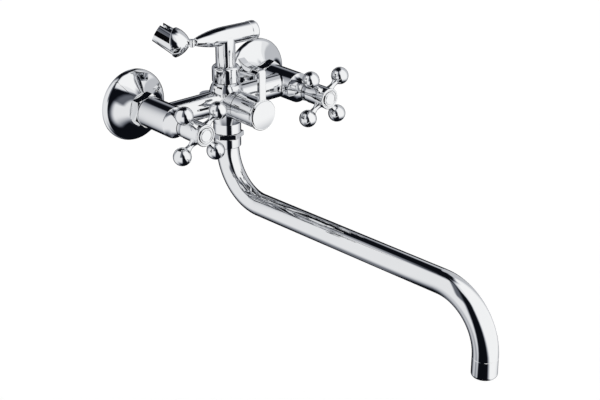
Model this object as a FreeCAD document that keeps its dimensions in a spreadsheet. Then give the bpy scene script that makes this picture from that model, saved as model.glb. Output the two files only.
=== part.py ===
import FreeCAD, Part
import math
import os
import re

import Sketcher

# Wall-mounted two-handle mixer with a long swivel spout, a hook-lever diverter and a hand-shower holder.
# X runs along the wall, -Y comes out of the wall, Z is up. The origin is on the wall plane, midway
# between the two inlets. Profiles of pieces that stand out from the wall are drawn as (radius, distance
# from the wall), and those above or below the body as (radius, height) or (radius, depth).

SIZES = {
    # body casting
    "inlet_spacing": 150,
    "axis_out": 48.8,
    "tube_radius": 11.64,
    "tube_fillet": 3.5,
    "valve_radius": 14.65,
    "valve_back": 29.2,
    "valve_face": 68.3,
    "valve_edge": 0.8,
    "inlet_collar_radius": 11.8,
    "inlet_collar": 1.7,
    "inlet_tail_radius": 9.8,
    "inlet_bore": 6,
    "seat_out": 42.4,
    "chamber_radius": 9.6,
    "cross_bore": 6.2,
    "hub_radius": 16.4,
    "hub_neck_radius": 13.5,
    "hub_crown_radius": 13.7,
    "hub_top": 16.6,
    "hub_belt_top": 9,
    "hub_belt_bottom": 7,
    "hub_waist": 22,
    "hub_bottom": 31.6,
    # wall connectors
    "pipe_thread_radius": 10.45,
    "wall_depth": 14,
    "connector_shank_radius": 11.2,
    "connector_bore": 6.5,
    "connector_front": 23.6,
    "union_thread_radius": 13.2,
    "union_thread_start": 15.5,
    "thread_gap": 0.05,
    # wall rosettes
    "rosette_radius": 34.7,
    "rosette_rim": 2,
    "rosette_crown_radius": 31.8,
    "rosette_crown": 5.6,
    "rosette_nose_radius": 16.4,
    "rosette_depth": 18.3,
    "rosette_flare": 44,
    "rosette_wall": 1.1,
    "rosette_gap": 0.3,
    # union nuts and gaskets
    "nut_flats": 30,
    "nut_back": 18.6,
    "nut_front": 28.8,
    "nut_lip": 1.5,
    "nut_chamfer": 1.1,
    "nut_bevel": 1.9,
    "nut_turn": 18.4,
    "gasket_thickness": 1.9,
    "gasket_bore": 7.2,
    "seat_gap": 0.1,
    "turning_gap": 0.3,
    # ceramic headworks
    "headwork_thread_radius": 10.4,
    "headwork_thread_length": 15.5,
    "headwork_sleeve_radius": 9.3,
    "headwork_sleeve_bore": 7.7,
    "headwork_flange_radius": 12.6,
    "headwork_flange": 1.5,
    "headwork_flats": 17,
    "headwork_hex": 4.6,
    "headwork_neck_radius": 7,
    "headwork_nose": 80.6,
    "headwork_bore": 4.95,
    "window_width": 7,
    "window_length": 3.4,
    "seat_ring_thickness": 1.6,
    "seat_ring_bore": 5.2,
    "disc_radius": 7.6,
    "disc_thickness": 2.4,
    "disc_port": 2.5,
    "disc_port_offset": 4.2,
    "carrier_thickness": 2.8,
    "carrier_tongue": 1,
    "stem_radius": 4.9,
    "spline_radius": 4,
    "shoulder_out": 83.5,
    "stem_end": 99.4,
    "seal_section": 0.85,
    "seal_out": 64,
    # bonnets
    "bonnet_mid_radius": 11,
    "bonnet_mid_out": 75,
    "bonnet_front_radius": 9.9,
    "bonnet_front": 82.4,
    "bonnet_curve": 26,
    "bonnet_wall": 1.3,
    # cross handles
    "handle_back": 83,
    "handle_skirt_radius": 9.5,
    "handle_skirt": 5.5,
    "handle_radius": 10.1,
    "arms_out": 105.1,
    "arm_length": 26.8,
    "ball_radius": 8.44,
    "arm_root_radius": 4.6,
    "arm_neck_radius": 2.6,
    "arm_neck_reach": 14.6,
    "arm_tip_radius": 3.4,
    "handle_front": 113,
    "handle_edge": 1,
    "handle_lip": 2.5,
    "left_handle_turn": 39.4,
    "right_handle_turn": 39.8,
    "spline_gap": 0.05,
    "web_back": 99.7,
    "web_front": 103,
    "screw_head_radius": 4.4,
    "screw_head": 2.8,
    "screw_radius": 2.4,
    "screw_length": 11,
    "screw_gap": 0.3,
    "shank_gap": 0.2,
    "socket_radius": 1.5,
    "cap_radius": 7.3,
    "cap_seat": 107.4,
    "cap_front": 114.4,
    "cap_rise": 0.8,
    "cap_gap": 0.05,
    # diverter
    "diverter_drop": 1.2,
    "diverter_boss_radius": 14.2,
    "diverter_face": 71.5,
    "diverter_chamber_radius": 10.4,
    "diverter_chamber_end": 39,
    "diverter_plate_radius": 10,
    "diverter_plate": 3,
    "diverter_thread_length": 13,
    "diverter_flange_radius": 12.2,
    "diverter_flange": 2.4,
    "diverter_nose_radius": 8,
    "diverter_nose": 81,
    "diverter_shoulder": 84,
    "diverter_stem_end": 92,
    "diverter_seal_out": 64,
    "knob_back": 71.9,
    "knob_radius": 14.2,
    "knob_rim_radius": 14.9,
    "knob_front": 103.6,
    "knob_rim": 4,
    "knob_wall": 1.5,
    "knob_hollow": 10.6,
    "knob_recess_out": 95,
    "knob_cap_radius": 13.2,
    "knob_cap_front": 105.8,
    "knob_cap_rise": 1.2,
    "lever_width": 8,
    "lever_front": 103.5,
    "lever_thickness": 3.8,
    "lever_height": 42.4,
    "lever_bar": 4.8,
    "lever_foot": 10,
    "lever_bend": 3.2,
    "lever_inner_bend": 4,
    "lever_waist_out": 88,
    "lever_under_out": 84.3,
    "lever_tail_out": 78.5,
    "lever_tail_rise": 1.2,
    "lever_tip_out": 72.4,
    "lever_tip_rise": 4.7,
    "lever_tail_thickness": 2.5,
    "lever_edge": 0.8,
    # spout
    "spout_socket_radius": 8.06,
    "spout_socket_top": 19,
    "spout_way": 6.2,
    "spout_thread_radius": 11.8,
    "spout_thread_end": 39.8,
    "spout_nut_flats": 28,
    "spout_nut_top": 31.9,
    "spout_nut_hex": 4.8,
    "spout_nut_radius": 13.3,
    "spout_nut_bottom": 46.4,
    "spout_nut_lip": 2.6,
    "spout_nut_cavity": 12.3,
    "spout_radius": 11.2,
    "spout_wall": 1.2,
    "spout_top": 43.6,
    "spout_bend_top": 46,
    "spout_bend_radius": 48,
    "spout_rise": 1.97,
    "spout_reach": 337.8,
    "spout_end_radius": 49.5,
    "spout_tip": 135.7,
    "bush_radius": 8,
    "bush_bore": 6,
    "bush_top": 21,
    "bush_shoulder": 40.2,
    "bush_plug": 3,
    "plug_play": 0.15,
    "split_ring_radius": 12,
    "split_ring_inner": 9.6,
    "split_ring_top": 41,
    "split_ring_height": 2,
    "split_gap": 2.5,
    "spout_seal_top": 25,
    "spout_seal_pitch": 6,
    # aerator
    "outlet_bush_length": 3,
    "outlet_bush_play": 0.25,
    "outlet_bush_flange": 0.2,
    "outlet_seam": 0.25,
    "outlet_thread_radius": 9.6,
    "outlet_thread_length": 7.2,
    "aerator_bottom": 153.8,
    "aerator_wall": 1.5,
    "aerator_edge": 3,
    "aerator_lip": 1.9,
    "insert_height": 6.6,
    "jet_radius": 0.9,
    "jet_circle": 5.2,
    "jet_count": 12,
    # holder on top
    "boss_thread_radius": 10.4,
    "boss_top": 27.4,
    "socket_bottom": 13.2,
    "post_spigot_radius": 8,
    "post_foot": 14,
    "post_flange_radius": 10.1,
    "post_flange": 2.6,
    "post_radius": 9.5,
    "collar_bottom": 19,
    "collar_top": 34.8,
    "collar_radius": 13.4,
    "collar_lip_radius": 9.8,
    "collar_cavity": 10.5,
    "collar_shoulder": 3,
    "collar_bevel": 0.8,
    "holder_seal_up": 21,
    "arm_height": 63.2,
    "arm_turn": -4,
    "arm_radius": 9.15,
    "arm_tail": 26.5,
    "arm_straight": 2,
    "arm_tip": 33.9,
    "arm_tip_end_radius": 3.7,
    "arm_nose_bulge": 1.15,
    "arm_bore": 6,
    "arm_bore_depth": 14,
    "end_cap_radius": 9.55,
    "end_cap_length": 8.4,
    "end_cap_edge": 3,
    "end_cap_plug": 8,
    "plug_gap": 0.05,
    # pivot between the arm and the cup
    "pivot_out": 37,
    "pivot_eye_radius": 2.7,
    "pivot_clear": 3.1,
    "pivot_radius": 1,
    "pivot_gap": 0.15,
    "pivot_head_radius": 1.9,
    "pivot_head": 0.8,
    "tongue_thickness": 2.4,
    "tongue_width": 4,
    "washer_thickness": 0.4,
    "fork_gap": 0.1,
    "fork_height": 6.2,
    "fork_width": 4.4,
    # swivel cup
    "cup_swing": 53.2,
    "cup_neck_radius": 3.1,
    "dome_rise": -3.8,
    "dome_length": 13.8,
    "dome_radius": 14,
    "dome_curve": 24,
    "dome_edge": 0.8,
    "cup_rise": 28.1,
    "cup_length": 18.7,
    "cup_mouth_radius": 9.9,
    "cup_root": 6,
    "cup_root_radius": 11.15,
    "cup_bore_mouth": 8.8,
    "cup_bore_end": 8,
    "cup_bore_depth": 20,
    "cup_slot": 8.6,
    "cup_slot_depth": 9,
    # hose outlet behind the hub
    "outlet_out": 21.6,
    "outlet_axis_drop": 6.2,
    "outlet_pipe_radius": 5,
    "outlet_crown": 0.6,
    "outlet_boss_radius": 9.4,
    "outlet_boss_bottom": 11.8,
    "outlet_bore": 3.4,
    "nipple_thread_radius": 10.45,
    "nipple_flange": 1.5,
    "nipple_length": 8.5,
    "nipple_screw_radius": 6.5,
    "nipple_screw_length": 5,
    "nipple_bore": 5,
    "check_valve_length": 6,
}

doc = FreeCAD.newDocument("wall_mixer")
sheet = doc.addObject("Spreadsheet::Sheet", "Sizes")
for row, (name, value) in enumerate(SIZES.items(), start=1):
    sheet.set(f"A{row}", name)
    sheet.set(f"B{row}", str(value))
    sheet.setAlias(f"B{row}", name)
doc.recompute()

OUT = FreeCAD.Rotation(FreeCAD.Vector(0, 0, 1), 180)
UP = FreeCAD.Rotation()
DOWN = FreeCAD.Rotation(FreeCAD.Vector(1, 0, 0), 180)
WORD = re.compile(r"[a-z_]+")
TOKEN = re.compile(r"[a-z_]+|[0-9.]+|[-+*/^()]")
FUNCTIONS = {"sin": math.sin, "cos": math.cos, "tan": math.tan, "sqrt": math.sqrt}
subparts = []


# Formulas

def bound(formula):
    """Write a formula of size names as the document's own expression"""
    return WORD.sub(lambda m: f"Sizes.{m.group()}" if m.group() in SIZES else m.group(), str(formula))


def size(formula):
    """Work out a formula of size names, numbers, angles in deg and the functions above"""
    tokens = TOKEN.findall(str(formula))

    def take(*wanted):
        return tokens.pop(0) if tokens and tokens[0] in wanted else ""

    def factor():
        if take("-"):
            return -factor()
        word = tokens.pop(0)
        if word in FUNCTIONS:
            value = FUNCTIONS[word](factor())
        elif word == "(":
            value = total()
            tokens.pop(0)
        else:
            value = SIZES[word] if word in SIZES else float(word)
        if take("deg"):
            value = math.radians(value)
        return value ** factor() if take("^") else value

    def product():
        value = factor()
        while sign := take("*", "/"):
            value = value * factor() if sign == "*" else value / factor()
        return value

    def total():
        value = product()
        while sign := take("+", "-"):
            value = value + product() if sign == "+" else value - product()
        return value

    return total()


def bind(feature, **formulas):
    """Tie properties to formulas; a double underscore in a name stands for a dot"""
    for name, formula in formulas.items():
        feature.setExpression(name.replace("__", "."), bound(formula))


def place(feature, x=0, y=0, z=0, turn=UP):
    """Put a sub-part on its axis"""
    feature.Placement = FreeCAD.Placement(FreeCAD.Vector(), turn)
    bind(feature, Placement__Base__x=x, Placement__Base__y=y, Placement__Base__z=z)


# Sketches and features

def new_body(label):
    body = doc.addObject("PartDesign::Body", label)
    body.Label = label
    return body


def origin_plane(body, role):
    return next(item for item in body.Origin.OriginFeatures if item.Role == role)


def sketch_on(body, role, shift_x=0, shift_y=0, lift=0):
    sketch = body.newObject("Sketcher::SketchObject", f"{body.Name}_sketch")
    sketch.AttachmentSupport = (origin_plane(body, role), [""])
    sketch.MapMode = "FlatFace"
    bind(sketch, AttachmentOffset__Base__x=shift_x, AttachmentOffset__Base__y=shift_y,
         AttachmentOffset__Base__z=lift)
    return sketch


def pin_point(sketch, geometry, end, x, y):
    """Hold a point at two formulas measured from the sketch origin"""
    for direction, formula in (("X", x), ("Y", y)):
        value = size(formula)
        number = sketch.addConstraint(
            Sketcher.Constraint(f"Distance{direction}", -1, 1, geometry, end, value))
        sketch.setExpression(f"Constraints[{number}]", bound(formula))


def arc_between(start, end, radius):
    """Arc from start to end, and whether it runs that way; a positive radius has its centre on the left"""
    chord = end - start
    height = (radius * radius - chord.Length * chord.Length / 4) ** 0.5
    left = FreeCAD.Vector(-chord.y, chord.x, 0).normalize()
    centre = (start + end) / 2 + left * (height if radius > 0 else -height)
    first, last = (start, end) if radius > 0 else (end, start)
    begin = math.atan2(first.y - centre.y, first.x - centre.x)
    finish = math.atan2(last.y - centre.y, last.x - centre.x)
    if finish < begin:
        finish += 2 * math.pi
    full = Part.Circle(centre, FreeCAD.Vector(0, 0, 1), abs(radius))
    return Part.ArcOfCircle(full, begin, finish), (1, 2) if radius > 0 else (2, 1)


def outline(sketch, points):
    """Close a profile. A point is (x, y) or (x, y, radius), where the radius curves the edge after it"""
    corners = [FreeCAD.Vector(size(point[0]), size(point[1]), 0) for point in points]
    ends = []
    for index, point in enumerate(points):
        start, end = corners[index], corners[(index + 1) % len(points)]
        if len(point) == 2:
            number = sketch.addGeometry(Part.LineSegment(start, end), False)
            ends.append((number, 1, 2))
            continue
        arc, order = arc_between(start, end, size(point[2]))
        number = sketch.addGeometry(arc, False)
        ends.append((number, *order))
        radius = sketch.addConstraint(Sketcher.Constraint("Radius", number, abs(size(point[2]))))
        sketch.setExpression(f"Constraints[{radius}]", f"abs({bound(point[2])})")
    for index, (number, first, last) in enumerate(ends):
        following = ends[(index + 1) % len(ends)]
        sketch.addConstraint(Sketcher.Constraint("Coincident", number, last, following[0], following[1]))
        pin_point(sketch, number, first, points[index][0], points[index][1])


def bulged_arc(run, rise, bulge):
    """Radius of an arc that stands out from its chord by the bulge"""
    return f"((({run}) ^ 2 + ({rise}) ^ 2) / 8 / {bulge} + {bulge} / 2)"


def tangent_arc(run, rise):
    """Radius of an arc that leaves a straight line smoothly and rises by one size over another"""
    return f"(({run} ^ 2 + {rise} ^ 2) / (2 * {rise}))"


def circle(sketch, x, y, radius):
    centre = FreeCAD.Vector(size(x), size(y), 0)
    number = sketch.addGeometry(
        Part.Circle(centre, FreeCAD.Vector(0, 0, 1), size(radius)), False)
    pin_point(sketch, number, 3, x, y)
    constraint = sketch.addConstraint(Sketcher.Constraint("Radius", number, size(radius)))
    sketch.setExpression(f"Constraints[{constraint}]", bound(radius))


def feature(body, kind, sketch, **formulas):
    item = body.newObject(f"PartDesign::{kind}", f"{body.Name}_{kind}")
    item.Profile = sketch
    bind(item, **formulas)
    sketch.Visibility = False
    return item


def revolve(body, sketch, axis="V_Axis", cut=False):
    item = feature(body, "Groove" if cut else "Revolution", sketch)
    item.ReferenceAxis = (sketch, [axis])
    item.Angle = 360
    return item


def rod(body, role, radius, length, x=0, y=0, lift=0, cut=False):
    """Round bar or hole that rises from an origin plane of the body"""
    kind = "Subtractive" if cut else "Additive"
    item = body.newObject(f"PartDesign::{kind}Cylinder", f"{body.Name}_rod")
    item.AttachmentSupport = (origin_plane(body, role), [""])
    item.MapMode = "FlatFace"
    bind(item, Radius=radius, Height=length, AttachmentOffset__Base__x=x,
         AttachmentOffset__Base__y=y, AttachmentOffset__Base__z=lift)
    return item


def turned(label, points, role="XY_Plane"):
    """Piece of revolution about the second direction of its sketch plane"""
    body = new_body(label)
    sketch = sketch_on(body, role)
    outline(sketch, points)
    revolve(body, sketch)
    return body


def keep(item, label):
    """Make an object a sub-part under its own name"""
    item.Label = label
    subparts.append(item)
    return item


def edges_where(shape, test):
    return [f"Edge{number}" for number, edge in enumerate(shape.Edges, start=1) if test(edge)]


def hexagonal(blank, label, flats, length):
    """Cut a turned blank to a hexagon"""
    prism = doc.addObject("Part::Prism", f"{label}_prism")
    prism.Polygon = 6
    bind(prism, Circumradius=f"{flats} / 2 / cos(30 deg)", Height=length)
    item = doc.addObject("Part::Common", label)
    item.Base = blank
    item.Tool = prism
    return item, prism


# Wall connector: pipe thread into the wall, union thread for the nut in front

def wall_connector(side, x):
    body = turned(f"wall_connector_{side}", [
        ("connector_bore", "0"),
        ("pipe_thread_radius", "0"),
        ("pipe_thread_radius", "wall_depth + 1"),
        ("connector_shank_radius", "wall_depth + 1.8"),
        ("connector_shank_radius", "wall_depth + union_thread_start - 1"),
        ("union_thread_radius", "wall_depth + union_thread_start"),
        ("union_thread_radius", "wall_depth + connector_front - 0.6"),
        ("union_thread_radius - 0.6", "wall_depth + connector_front"),
        ("connector_bore", "wall_depth + connector_front"),
    ])
    place(body, x=x, y="wall_depth", turn=OUT)
    keep(body, f"wall_connector_{side}")


# Wall rosette: pressed cover with a rounded crown and a concave cone

def wall_rosette(side, x):
    body = turned(f"wall_rosette_{side}", [
        ("rosette_radius", "0"),
        ("rosette_radius", "rosette_rim", "5"),
        ("rosette_crown_radius", "rosette_crown", "-rosette_flare"),
        ("rosette_nose_radius", "rosette_depth"),
        ("union_thread_radius + rosette_gap", "rosette_depth"),
        ("union_thread_radius + rosette_gap", "rosette_depth - rosette_wall"),
        ("rosette_nose_radius - rosette_wall / 2", "rosette_depth - rosette_wall",
         "rosette_flare + rosette_wall"),
        ("rosette_crown_radius - rosette_wall", "rosette_crown - rosette_wall"),
        ("rosette_radius - rosette_wall", "rosette_rim - 0.4"),
        ("rosette_radius - rosette_wall", "0"),
    ])
    place(body, x=x, turn=OUT)
    keep(body, f"wall_rosette_{side}")


# Union nut: chamfered hexagon that draws the inlet collar onto the connector

def union_nut(side, x):
    corner = "nut_flats / 2 / cos(30 deg)"
    blank = turned(f"union_nut_{side}_blank", [
        ("union_thread_radius + thread_gap", "nut_back"),
        (f"{corner} - nut_bevel", "nut_back"),
        (corner, "nut_back + nut_chamfer"),
        (corner, "nut_front - nut_chamfer"),
        (f"{corner} - nut_bevel", "nut_front"),
        ("inlet_tail_radius + turning_gap", "nut_front"),
        ("inlet_tail_radius + turning_gap", "nut_front - nut_lip"),
        ("union_thread_radius + thread_gap", "nut_front - nut_lip"),
    ])
    place(blank, turn=OUT)
    nut, prism = hexagonal(blank, f"union_nut_{side}", "nut_flats", "nut_front")
    forward = FreeCAD.Rotation(FreeCAD.Vector(1, 0, 0), 90)
    flats_turned = FreeCAD.Rotation(FreeCAD.Vector(0, -1, 0), size("nut_turn"))
    prism.Placement = FreeCAD.Placement(FreeCAD.Vector(), flats_turned.multiply(forward))
    place(nut, x=x)
    keep(nut, f"union_nut_{side}")


def union_gasket(side, x):
    body = turned(f"union_gasket_{side}", [
        ("gasket_bore", "connector_front"),
        ("inlet_collar_radius", "connector_front"),
        ("inlet_collar_radius", "connector_front + gasket_thickness"),
        ("gasket_bore", "connector_front + gasket_thickness"),
    ])
    place(body, x=x, turn=OUT)
    keep(body, f"union_gasket_{side}")


# Body casting: cross tube, two valve barrels, hub, diverter boss and hose elbow, all bored through

def mixer_body():
    body = new_body("mixer_body")
    rod(body, "YZ_Plane", "tube_radius", "inlet_spacing", x="-axis_out", lift="-inlet_spacing / 2")
    for sign in (-1, 1):
        barrel = sketch_on(body, "XY_Plane", shift_x=f"{sign} * inlet_spacing / 2", shift_y="-valve_face")
        outline(barrel, [
            ("0", "0"),
            ("valve_radius - valve_edge / 2", "0"),
            ("valve_radius", "valve_edge / 2"),
            ("valve_radius", "valve_face - valve_back - valve_edge"),
            ("valve_radius - valve_edge", "valve_face - valve_back"),
            ("inlet_tail_radius", "valve_face - valve_back"),
            ("inlet_tail_radius", "valve_face - connector_front - gasket_thickness - inlet_collar"),
            ("inlet_collar_radius", "valve_face - connector_front - gasket_thickness - inlet_collar"),
            ("inlet_collar_radius", "valve_face - connector_front - gasket_thickness"),
            ("0", "valve_face - connector_front - gasket_thickness"),
        ])
        revolve(body, barrel)
    doc.recompute()

    # the tube runs into each barrel with a cast fillet
    def at_barrel(edge):
        box = edge.BoundBox
        inner = size("inlet_spacing / 2 - valve_radius")
        reach = size("inlet_spacing / 2 - sqrt(valve_radius ^ 2 - tube_radius ^ 2)")
        near = min(abs(box.XMin), abs(box.XMax))
        far = max(abs(box.XMin), abs(box.XMax))
        return inner - 0.5 < near < inner + 0.5 and far < reach + 0.5 and box.ZLength > size("tube_radius")

    joined = body.Tip
    fillet = body.newObject("PartDesign::Fillet", "tube_fillets")
    fillet.Base = (joined, edges_where(joined.Shape, at_barrel))
    bind(fillet, Radius="tube_fillet")
    doc.recompute()

    hub = sketch_on(body, "XZ_Plane", shift_y="-spout_thread_end", lift="axis_out")
    outline(hub, [
        ("0", "0"),
        ("spout_thread_radius", "0"),
        ("spout_thread_radius", "spout_thread_end - hub_bottom"),
        ("hub_neck_radius", "spout_thread_end - hub_bottom"),
        ("hub_neck_radius", "spout_thread_end - hub_waist", "60"),
        ("hub_radius", "spout_thread_end - hub_belt_bottom"),
        ("hub_radius", "spout_thread_end + hub_belt_top", "24"),
        ("hub_crown_radius", "spout_thread_end + hub_top"),
        ("boss_thread_radius", "spout_thread_end + hub_top"),
        ("boss_thread_radius", "spout_thread_end + boss_top"),
        ("0", "spout_thread_end + boss_top"),
    ])
    revolve(body, hub)
    rod(body, "XZ_Plane", "diverter_boss_radius", "diverter_face - axis_out",
        y="-diverter_drop", lift="axis_out")
    rod(body, "XZ_Plane", "outlet_pipe_radius", "axis_out - outlet_out",
        y="-outlet_axis_drop", lift="outlet_out")
    rod(body, "XY_Plane", "outlet_boss_radius", "outlet_boss_bottom - outlet_axis_drop + outlet_pipe_radius + outlet_crown",
        y="-outlet_out", lift="-outlet_boss_bottom")

    # water ways
    for sign in (-1, 1):
        at = f"{sign} * inlet_spacing / 2"
        rod(body, "XZ_Plane", "headwork_thread_radius + thread_gap", "headwork_thread_length + 1",
            x=at, lift="valve_face - headwork_thread_length - 1", cut=True)
        rod(body, "XZ_Plane", "chamber_radius", "valve_face - seat_out", x=at, lift="seat_out", cut=True)
        rod(body, "XZ_Plane", "inlet_bore", "seat_out", x=at, lift="0", cut=True)
    rod(body, "YZ_Plane", "cross_bore", "inlet_spacing", x="-axis_out", lift="-inlet_spacing / 2", cut=True)
    rod(body, "XZ_Plane", "diverter_chamber_radius", "diverter_face - diverter_chamber_end",
        y="-diverter_drop", lift="diverter_chamber_end", cut=True)
    rod(body, "XY_Plane", "spout_way", "spout_thread_end - diverter_drop", y="-axis_out",
        lift="-spout_thread_end", cut=True)
    rod(body, "XY_Plane", "spout_socket_radius", "spout_thread_end - spout_socket_top", y="-axis_out",
        lift="-spout_thread_end", cut=True)
    rod(body, "XY_Plane", "post_spigot_radius + thread_gap", "boss_top - socket_bottom", y="-axis_out",
        lift="socket_bottom", cut=True)
    rod(body, "XZ_Plane", "outlet_bore", "diverter_chamber_end - outlet_out + outlet_bore",
        y="-outlet_axis_drop", lift="outlet_out - outlet_bore / 2", cut=True)
    rod(body, "XY_Plane", "nipple_screw_radius + thread_gap", "nipple_screw_length", y="-outlet_out",
        lift="-outlet_boss_bottom", cut=True)
    keep(body, "mixer_body")


# Half-turn ceramic headwork: seat ring, two discs, carrier stem and threaded housing

def seat_ring(side, x):
    body = turned(f"seat_ring_{side}", [
        ("seat_ring_bore", "seat_out"),
        ("disc_radius", "seat_out"),
        ("disc_radius", "seat_out + seat_ring_thickness"),
        ("seat_ring_bore", "seat_out + seat_ring_thickness"),
    ])
    place(body, x=x, turn=OUT)
    keep(body, f"seat_ring_{side}")


def ported_disc(label, x, z, start, radius, thickness, port, offsets):
    """Flat disc with a round port at each offset"""
    body = new_body(label)
    rod(body, "XZ_Plane", radius, thickness, lift=start)
    for across, up in offsets:
        rod(body, "XZ_Plane", port, thickness, x=across, y=up, lift=start, cut=True)
    place(body, x=x, z=z)
    keep(body, label)


def headwork_discs(side, x):
    first = "seat_out + seat_ring_thickness"
    ported_disc(f"fixed_disc_{side}", x, 0, first, "disc_radius", "disc_thickness", "disc_port",
                [("-disc_port_offset", "0"), ("disc_port_offset", "0")])
    ported_disc(f"turning_disc_{side}", x, 0, f"{first} + disc_thickness", "disc_radius", "disc_thickness",
                "disc_port", [("0", "-disc_port_offset"), ("0", "disc_port_offset")])


CARRIER_BACK = "seat_out + seat_ring_thickness + 2 * disc_thickness"


def headwork_stem(side, x):
    body = turned(f"headwork_stem_{side}", [
        ("0", CARRIER_BACK),
        ("disc_radius", CARRIER_BACK),
        ("disc_radius", f"{CARRIER_BACK} + carrier_thickness"),
        ("stem_radius", f"{CARRIER_BACK} + carrier_thickness"),
        ("stem_radius", "seal_out - seal_section"),
        ("stem_radius - seal_section", "seal_out - seal_section"),
        ("stem_radius - seal_section", "seal_out + seal_section"),
        ("stem_radius", "seal_out + seal_section"),
        ("stem_radius", "shoulder_out"),
        ("spline_radius", "shoulder_out"),
        ("spline_radius", "stem_end - 0.5"),
        ("spline_radius - 0.5", "stem_end"),
        ("screw_radius", "stem_end"),
        ("screw_radius", "stem_end + web_front - web_back - screw_length"),
        ("0", "stem_end + web_front - web_back - screw_length"),
    ])
    place(body, x=x, turn=OUT)
    keep(body, f"headwork_stem_{side}")


def headwork_seal(side, x):
    ring = doc.addObject("Part::Torus", f"headwork_seal_{side}")
    bind(ring, Radius1="stem_radius - seal_section / 2 + 0.05", Radius2="seal_section / 2")
    ring.Placement = FreeCAD.Placement(FreeCAD.Vector(), FreeCAD.Rotation(FreeCAD.Vector(1, 0, 0), 90))
    bind(ring, Placement__Base__x=x, Placement__Base__y="-seal_out")
    keep(ring, f"headwork_seal_{side}")


def headwork_housing(side, x):
    corner = "headwork_flats / 2 / cos(30 deg)"
    body = turned(f"headwork_housing_{side}", [
        ("headwork_sleeve_bore", "seat_out + seat_ring_thickness / 2"),
        ("headwork_sleeve_radius", "seat_out + seat_ring_thickness / 2"),
        ("headwork_sleeve_radius", "valve_face - headwork_thread_length"),
        ("headwork_thread_radius", "valve_face - headwork_thread_length"),
        ("headwork_thread_radius", "valve_face"),
        ("headwork_flange_radius", "valve_face"),
        ("headwork_flange_radius", "valve_face + headwork_flange"),
        (corner, "valve_face + headwork_flange"),
        (corner, "valve_face + headwork_hex"),
        ("headwork_neck_radius", "valve_face + headwork_hex + 1"),
        ("headwork_neck_radius", "headwork_nose"),
        ("headwork_bore", "headwork_nose"),
        ("headwork_bore", f"{CARRIER_BACK} + carrier_thickness + 0.1"),
        ("headwork_sleeve_bore", f"{CARRIER_BACK} + carrier_thickness + 0.1"),
    ])
    # side windows let the water out past the discs
    window = sketch_on(body, "XY_Plane")
    outline(window, [
        ("0", f"{CARRIER_BACK} - window_length"),
        ("valve_radius", f"{CARRIER_BACK} - window_length"),
        ("valve_radius", CARRIER_BACK),
        ("0", CARRIER_BACK),
    ])
    pocket = feature(body, "Pocket", window, Length="window_width")
    pocket.Midplane = True
    sweep = body.newObject("PartDesign::PolarPattern", f"{body.Name}_windows")
    sweep.Originals = [pocket]
    sweep.Axis = (next(i for i in body.Origin.OriginFeatures if i.Role == "Y_Axis"), [""])
    sweep.Angle = 360
    sweep.Occurrences = 2
    body.Tip = sweep
    place(body, x=x, turn=OUT)
    keep(body, f"headwork_housing_{side}")


# Bonnet: plain cover that carries the barrel's line in to the handle

def bonnet(side, x):
    body = turned(f"bonnet_{side}", [
        ("valve_radius - valve_edge / 2", "valve_face + seat_gap"),
        ("valve_radius", "valve_face + seat_gap + valve_edge / 2", "-bonnet_curve"),
        ("bonnet_mid_radius", "bonnet_mid_out", "-bonnet_curve"),
        ("bonnet_front_radius", "bonnet_front"),
        ("headwork_neck_radius + rosette_gap", "bonnet_front"),
        ("headwork_neck_radius + rosette_gap", "bonnet_front - bonnet_wall"),
        ("bonnet_mid_radius - bonnet_wall", "bonnet_mid_out"),
        ("headwork_flange_radius + rosette_gap", "valve_face + headwork_flange + rosette_gap"),
        ("headwork_flange_radius + rosette_gap", "valve_face + seat_gap"),
    ])
    place(body, x=x, turn=OUT)
    keep(body, f"bonnet_{side}")


# Cross handle: turned hub with four waisted arms that end in balls

def cross_handle(side, x, turn_name):
    body = turned(f"cross_handle_{side}", [
        ("headwork_neck_radius + rosette_gap", "handle_back"),
        ("handle_skirt_radius", "handle_back", "-30"),
        ("handle_radius", "handle_back + handle_skirt"),
        ("handle_radius", "handle_front - handle_edge", "handle_edge"),
        ("handle_radius - handle_edge", "handle_front"),
        ("cap_radius + cap_gap", "handle_front"),
        ("cap_radius + cap_gap", "web_front"),
        ("screw_radius + screw_gap", "web_front"),
        ("screw_radius + screw_gap", "web_back"),
        ("spline_radius + spline_gap", "web_back"),
        ("spline_radius + spline_gap", "shoulder_out + screw_gap"),
        ("headwork_neck_radius + rosette_gap", "shoulder_out + screw_gap"),
    ])
    arm = sketch_on(body, "XZ_Plane", lift="-arms_out")
    tip = "arm_length - sqrt(ball_radius ^ 2 - arm_tip_radius ^ 2)"
    outline(arm, [
        ("handle_radius - 1.5", "0"),
        ("handle_radius - 1.5", "arm_root_radius", "14"),
        ("arm_neck_reach", "arm_neck_radius", "14"),
        (tip, "arm_tip_radius", "-ball_radius"),
        ("arm_length + ball_radius", "0"),
    ])
    spoke = revolve(body, arm, axis="H_Axis")
    cross = body.newObject("PartDesign::PolarPattern", f"{body.Name}_cross")
    cross.Originals = [spoke]
    cross.Axis = (next(i for i in body.Origin.OriginFeatures if i.Role == "Y_Axis"), [""])
    cross.Angle = 360
    cross.Occurrences = 4
    body.Tip = cross
    half_turn = FreeCAD.Rotation(FreeCAD.Vector(0, 0, 1), 180)
    swing = FreeCAD.Rotation(FreeCAD.Vector(0, -1, 0), size(turn_name))
    place(body, x=x, turn=swing.multiply(half_turn))
    keep(body, f"cross_handle_{side}")


def cap_screw(label, x, z, seat, length):
    """Socket-head screw that holds a handle on its stem"""
    body = turned(label, [
        ("0", f"{seat} - ({length})"),
        ("screw_radius - shank_gap", f"{seat} - ({length})"),
        ("screw_radius - shank_gap", seat),
        ("screw_head_radius", seat),
        ("screw_head_radius", f"{seat} + screw_head"),
        ("socket_radius", f"{seat} + screw_head"),
        ("socket_radius", f"{seat} + screw_head / 3"),
        ("0", f"{seat} + screw_head / 3"),
    ])
    place(body, x=x, z=z, turn=OUT)
    keep(body, label)


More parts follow.
